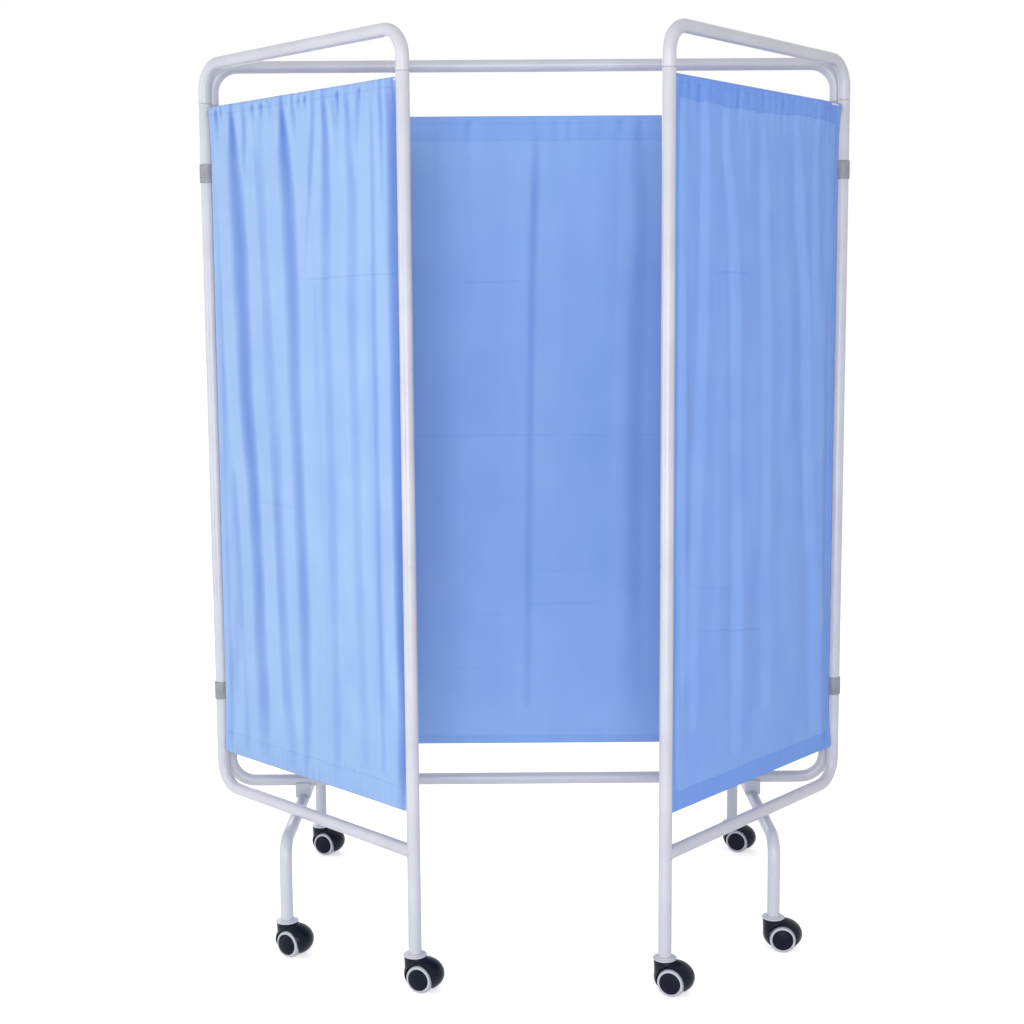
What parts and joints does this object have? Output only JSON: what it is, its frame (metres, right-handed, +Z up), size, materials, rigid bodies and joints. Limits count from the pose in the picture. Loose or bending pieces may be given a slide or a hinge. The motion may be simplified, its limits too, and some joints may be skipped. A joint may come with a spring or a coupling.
{
  "type": "folding bedside screen",
  "caption": "Folding ward screen: wide cloth-covered tube frame on arched feet, a narrower cloth wing hinged by clips to each side, on swivel castors.",
  "frame": {"origin": "on the floor, at the centre of the bounding box with the wings as pictured", "axes": "+Z up; +X to the viewer's right, along the centre panel; +Y to the back, away from the wings"},
  "size_m": [1.3485, 0.8898, 1.7997],
  "materials": {
    "frame_paint": "white powder coat, semi-gloss",
    "clip_plastic": "moulded grey nylon",
    "rod_steel": "drawn, zinc plated",
    "collar_plastic": "moulded pale grey",
    "hood_plastic": "moulded, glossy charcoal",
    "disc_plastic": "moulded, satin charcoal",
    "wheel_plastic": "moulded light grey tread",
    "curtain_cloth": "plain-woven mid blue cotton",
    "pale_curtain_cloth": "plain-woven light blue cotton"
  },
  "bodies": {
    "centre": {"centre_upper_tube": "frame_paint", "centre_lower_tube": "frame_paint", "centre_upper_rod": "rod_steel", "centre_lower_rod": "rod_steel", "centre_curtain": "curtain_cloth", "left_foot_arch": "frame_paint", "right_foot_arch": "frame_paint", "left_foot_saddle": "collar_plastic", "right_foot_saddle": "collar_plastic", "left_front_castor_stem": "collar_plastic", "left_rear_castor_stem": "collar_plastic", "right_front_castor_stem": "collar_plastic", "right_rear_castor_stem": "collar_plastic"},
    "left_clips": {"left_upper_clip": "clip_plastic", "left_lower_clip": "clip_plastic"},
    "right_clips": {"right_upper_clip": "clip_plastic", "right_lower_clip": "clip_plastic"},
    "left_wing": {"left_wing_upper_tube": "frame_paint", "left_wing_hinge_tube": "frame_paint", "left_wing_front_post": "frame_paint", "left_wing_upper_rod": "rod_steel", "left_wing_lower_rod": "rod_steel", "left_wing_curtain": "pale_curtain_cloth", "left_wing_castor_stem": "collar_plastic"},
    "right_wing": {"right_wing_upper_tube": "frame_paint", "right_wing_hinge_tube": "frame_paint", "right_wing_front_post": "frame_paint", "right_wing_upper_rod": "rod_steel", "right_wing_lower_rod": "rod_steel", "right_wing_curtain": "curtain_cloth", "right_wing_castor_stem": "collar_plastic"},
    "left_wing_castor": {"left_wing_castor_hood": "hood_plastic", "left_wing_castor_axle": "disc_plastic"},
    "left_wing_near_wheel": {"left_wing_castor_near_wheel": "wheel_plastic"},
    "left_wing_far_wheel": {"left_wing_castor_far_wheel": "wheel_plastic"},
    "right_wing_castor": {"right_wing_castor_hood": "hood_plastic", "right_wing_castor_axle": "disc_plastic"},
    "right_wing_near_wheel": {"right_wing_castor_near_wheel": "wheel_plastic"},
    "right_wing_far_wheel": {"right_wing_castor_far_wheel": "wheel_plastic"},
    "left_front_castor": {"left_front_castor_hood": "hood_plastic", "left_front_castor_axle": "disc_plastic"},
    "left_front_near_wheel": {"left_front_castor_near_wheel": "wheel_plastic"},
    "left_front_far_wheel": {"left_front_castor_far_wheel": "wheel_plastic"},
    "left_rear_castor": {"left_rear_castor_hood": "hood_plastic", "left_rear_castor_axle": "disc_plastic"},
    "left_rear_near_wheel": {"left_rear_castor_near_wheel": "wheel_plastic"},
    "left_rear_far_wheel": {"left_rear_castor_far_wheel": "wheel_plastic"},
    "right_front_castor": {"right_front_castor_hood": "hood_plastic", "right_front_castor_axle": "disc_plastic"},
    "right_front_near_wheel": {"right_front_castor_near_wheel": "wheel_plastic"},
    "right_front_far_wheel": {"right_front_castor_far_wheel": "wheel_plastic"},
    "right_rear_castor": {"right_rear_castor_hood": "hood_plastic", "right_rear_castor_axle": "disc_plastic"},
    "right_rear_near_wheel": {"right_rear_castor_near_wheel": "wheel_plastic"},
    "right_rear_far_wheel": {"right_rear_castor_far_wheel": "wheel_plastic"}
  },
  "joints": [
    {"name": "left_clip_hinge", "type": "hinge", "parent": "centre", "child": "left_clips", "pos_m": [-0.6475, 0.111, 0], "axis": [0, 0, -1], "range_deg": [-12.25, 66.75]},
    {"name": "left_wing_hinge", "type": "hinge", "parent": "left_clips", "child": "left_wing", "pos_m": [-0.65934, 0.08344, 0], "axis": [0, 0, -1], "range_deg": [-12.25, 66.75]},
    {"name": "right_clip_hinge", "type": "hinge", "parent": "centre", "child": "right_clips", "pos_m": [0.6475, 0.111, 0], "axis": [0, 0, 1], "range_deg": [-14, 65]},
    {"name": "right_wing_hinge", "type": "hinge", "parent": "right_clips", "child": "right_wing", "pos_m": [0.66018, 0.08381, 0], "axis": [0, 0, 1], "range_deg": [-14, 65]},
    {"name": "left_wing_swivel", "type": "hinge", "parent": "left_wing", "child": "left_wing_castor", "pos_m": [-0.22224, -0.37718, 0], "axis": [0, 0, 1], "continuous": true},
    {"name": "left_wing_near_spin", "type": "hinge", "parent": "left_wing_castor", "child": "left_wing_near_wheel", "pos_m": [-0.20502, -0.38521, 0.027], "axis": [0.4226, 0.9063, 0], "continuous": true},
    {"name": "left_wing_far_spin", "type": "hinge", "parent": "left_wing_castor", "child": "left_wing_far_wheel", "pos_m": [-0.20502, -0.38521, 0.027], "axis": [0.4226, 0.9063, 0], "continuous": true},
    {"name": "right_wing_swivel", "type": "hinge", "parent": "right_wing", "child": "right_wing_castor", "pos_m": [0.25201, -0.40263, 0], "axis": [0, 0, 1], "continuous": true},
    {"name": "right_wing_near_spin", "type": "hinge", "parent": "right_wing_castor", "child": "right_wing_near_wheel", "pos_m": [0.26923, -0.41066, 0.027], "axis": [0.4226, 0.9063, 0], "continuous": true},
    {"name": "right_wing_far_spin", "type": "hinge", "parent": "right_wing_castor", "child": "right_wing_far_wheel", "pos_m": [0.26923, -0.41066, 0.027], "axis": [0.4226, 0.9063, 0], "continuous": true},
    {"name": "left_front_swivel", "type": "hinge", "parent": "centre", "child": "left_front_castor", "pos_m": [-0.4905, -0.1965, 0], "axis": [0, 0, 1], "continuous": true},
    {"name": "left_front_near_spin", "type": "hinge", "parent": "left_front_castor", "child": "left_front_near_wheel", "pos_m": [-0.47457, -0.20685, 0.027], "axis": [0.5446, 0.8387, 0], "continuous": true},
    {"name": "left_front_far_spin", "type": "hinge", "parent": "left_front_castor", "child": "left_front_far_wheel", "pos_m": [-0.47457, -0.20685, 0.027], "axis": [0.5446, 0.8387, 0], "continuous": true},
    {"name": "left_rear_swivel", "type": "hinge", "parent": "centre", "child": "left_rear_castor", "pos_m": [-0.4905, 0.4185, 0], "axis": [0, 0, 1], "continuous": true},
    {"name": "left_rear_near_spin", "type": "hinge", "parent": "left_rear_castor", "child": "left_rear_near_wheel", "pos_m": [-0.47328, 0.41047, 0.027], "axis": [0.4226, 0.9063, 0], "continuous": true},
    {"name": "left_rear_far_spin", "type": "hinge", "parent": "left_rear_castor", "child": "left_rear_far_wheel", "pos_m": [-0.47328, 0.41047, 0.027], "axis": [0.4226, 0.9063, 0], "continuous": true},
    {"name": "right_front_swivel", "type": "hinge", "parent": "centre", "child": "right_front_castor", "pos_m": [0.4905, -0.1965, 0], "axis": [0, 0, 1], "continuous": true},
    {"name": "right_front_near_spin", "type": "hinge", "parent": "right_front_castor", "child": "right_front_near_wheel", "pos_m": [0.50931, -0.19914, 0.027], "axis": [0.1392, 0.9903, 0], "continuous": true},
    {"name": "right_front_far_spin", "type": "hinge", "parent": "right_front_castor", "child": "right_front_far_wheel", "pos_m": [0.50931, -0.19914, 0.027], "axis": [0.1392, 0.9903, 0], "continuous": true},
    {"name": "right_rear_swivel", "type": "hinge", "parent": "centre", "child": "right_rear_castor", "pos_m": [0.4905, 0.4185, 0], "axis": [0, 0, 1], "continuous": true},
    {"name": "right_rear_near_spin", "type": "hinge", "parent": "right_rear_castor", "child": "right_rear_near_wheel", "pos_m": [0.50772, 0.41047, 0.027], "axis": [0.4226, 0.9063, 0], "continuous": true},
    {"name": "right_rear_far_spin", "type": "hinge", "parent": "right_rear_castor", "child": "right_rear_far_wheel", "pos_m": [0.50772, 0.41047, 0.027], "axis": [0.4226, 0.9063, 0], "continuous": true}
  ]
}
